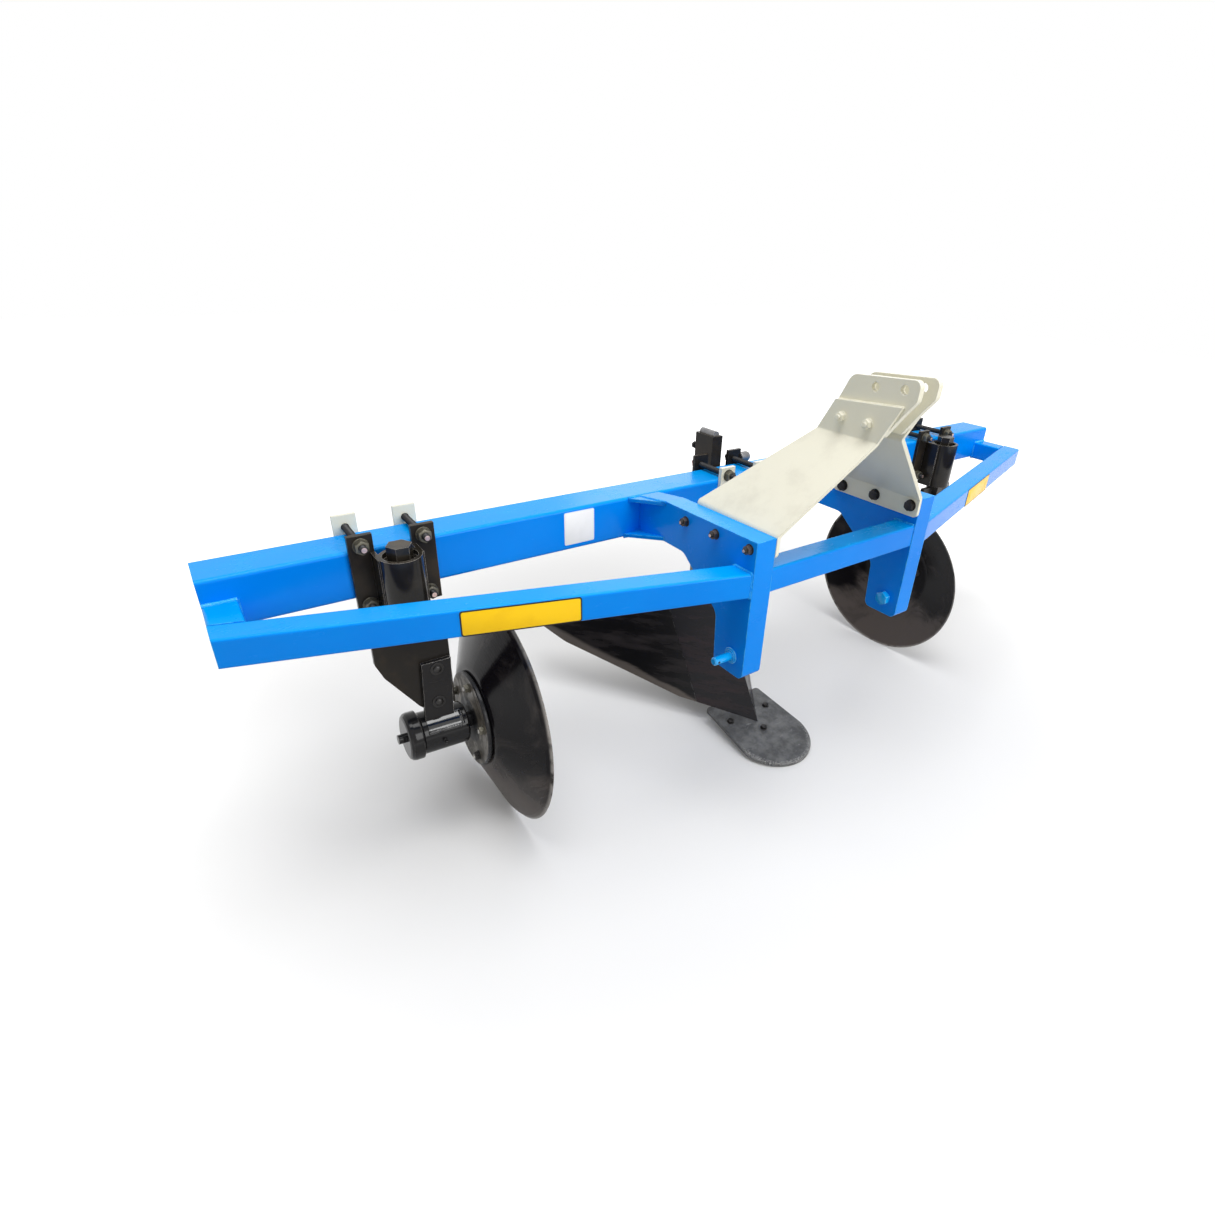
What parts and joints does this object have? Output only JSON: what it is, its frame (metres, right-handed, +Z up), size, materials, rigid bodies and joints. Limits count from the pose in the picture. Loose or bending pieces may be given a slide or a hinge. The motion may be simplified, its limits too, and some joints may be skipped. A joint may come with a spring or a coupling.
{
  "type": "disc ditcher",
  "caption": "Tractor-mounted ditcher: welded tube frame with three-point hitch, a V-shaped mouldboard body with a round-nosed share, and dished side discs on clamped arms.",
  "frame": {"origin": "on the ground, under the middle of the machine's length and width", "axes": "+X to the machine's right, +Y to its rear, +Z up"},
  "size_m": [2.822, 1.1116, 1.1949],
  "materials": {
    "blue_paint": "glossy azure enamel",
    "cream_paint": "semi-gloss cream enamel",
    "black_paint": "glossy black enamel",
    "disc_black": "dark brown-black lacquer on steel",
    "worn_steel": "dull worn steel",
    "bare_steel": "dark threaded steel"
  },
  "bodies": {
    "frame": {"back_plate_centre": "black_paint", "back_plate_left": "cream_paint", "back_plate_right": "cream_paint", "body_shank": "worn_steel", "clamp_plates_centre": "cream_paint", "clamp_plates_left": "black_paint", "clamp_plates_right": "black_paint", "clamp_rods_centre": "bare_steel", "clamp_rods_left": "bare_steel", "clamp_rods_right": "bare_steel", "corner_gussets_left": "blue_paint", "corner_gussets_right": "blue_paint", "end_tube_left": "blue_paint", "end_tube_right": "blue_paint", "frog": "black_paint", "front_tube_centre": "blue_paint", "front_tube_left": "blue_paint", "front_tube_right": "blue_paint", "headstock_plate_left": "cream_paint", "headstock_plate_right": "cream_paint", "hitch_pin_left": "blue_paint", "hitch_pin_right": "blue_paint", "rear_beam": "blue_paint", "shank_socket": "black_paint", "share": "worn_steel", "shin_plate_left": "black_paint", "shin_plate_right": "black_paint", "side_member_left": "blue_paint", "side_member_right": "blue_paint", "sleeve_left": "black_paint", "sleeve_right": "black_paint", "top_link_ear_left": "cream_paint", "top_link_ear_right": "cream_paint", "wing_left": "black_paint", "wing_right": "black_paint", "wing_stay_left": "black_paint", "wing_stay_right": "black_paint"},
    "arm_left": {"arm_shank_left": "black_paint", "arm_plate_left": "black_paint", "hub_strap_left": "black_paint", "bearing_housing_left": "black_paint", "housing_cap_left": "black_paint"},
    "arm_right": {"arm_shank_right": "black_paint", "arm_plate_right": "black_paint", "hub_strap_right": "black_paint", "bearing_housing_right": "black_paint", "housing_cap_right": "black_paint"},
    "disc_left": {"hub_flange_left": "black_paint", "disc_blade_left": "disc_black"},
    "disc_right": {"hub_flange_right": "black_paint", "disc_blade_right": "disc_black"}
  },
  "joints": [
    {"name": "arm_left_swivel", "type": "hinge", "parent": "frame", "child": "arm_left", "pos_m": [-1.026, -0.0116, 0.75308], "axis": [0, 0, 1], "range_deg": [-20, 20]},
    {"name": "arm_right_swivel", "type": "hinge", "parent": "frame", "child": "arm_right", "pos_m": [1.026, -0.0116, 0.75308], "axis": [0, 0, 1], "range_deg": [-20, 20]},
    {"name": "disc_left_spin", "type": "hinge", "parent": "arm_left", "child": "disc_left", "pos_m": [-1.02587, -0.0056, 0.31308], "axis": [0.999, -0.0209, -0.0401], "continuous": true},
    {"name": "disc_right_spin", "type": "hinge", "parent": "arm_right", "child": "disc_right", "pos_m": [1.02587, -0.0056, 0.31308], "axis": [-0.999, -0.0209, -0.0401], "continuous": true}
  ]
}
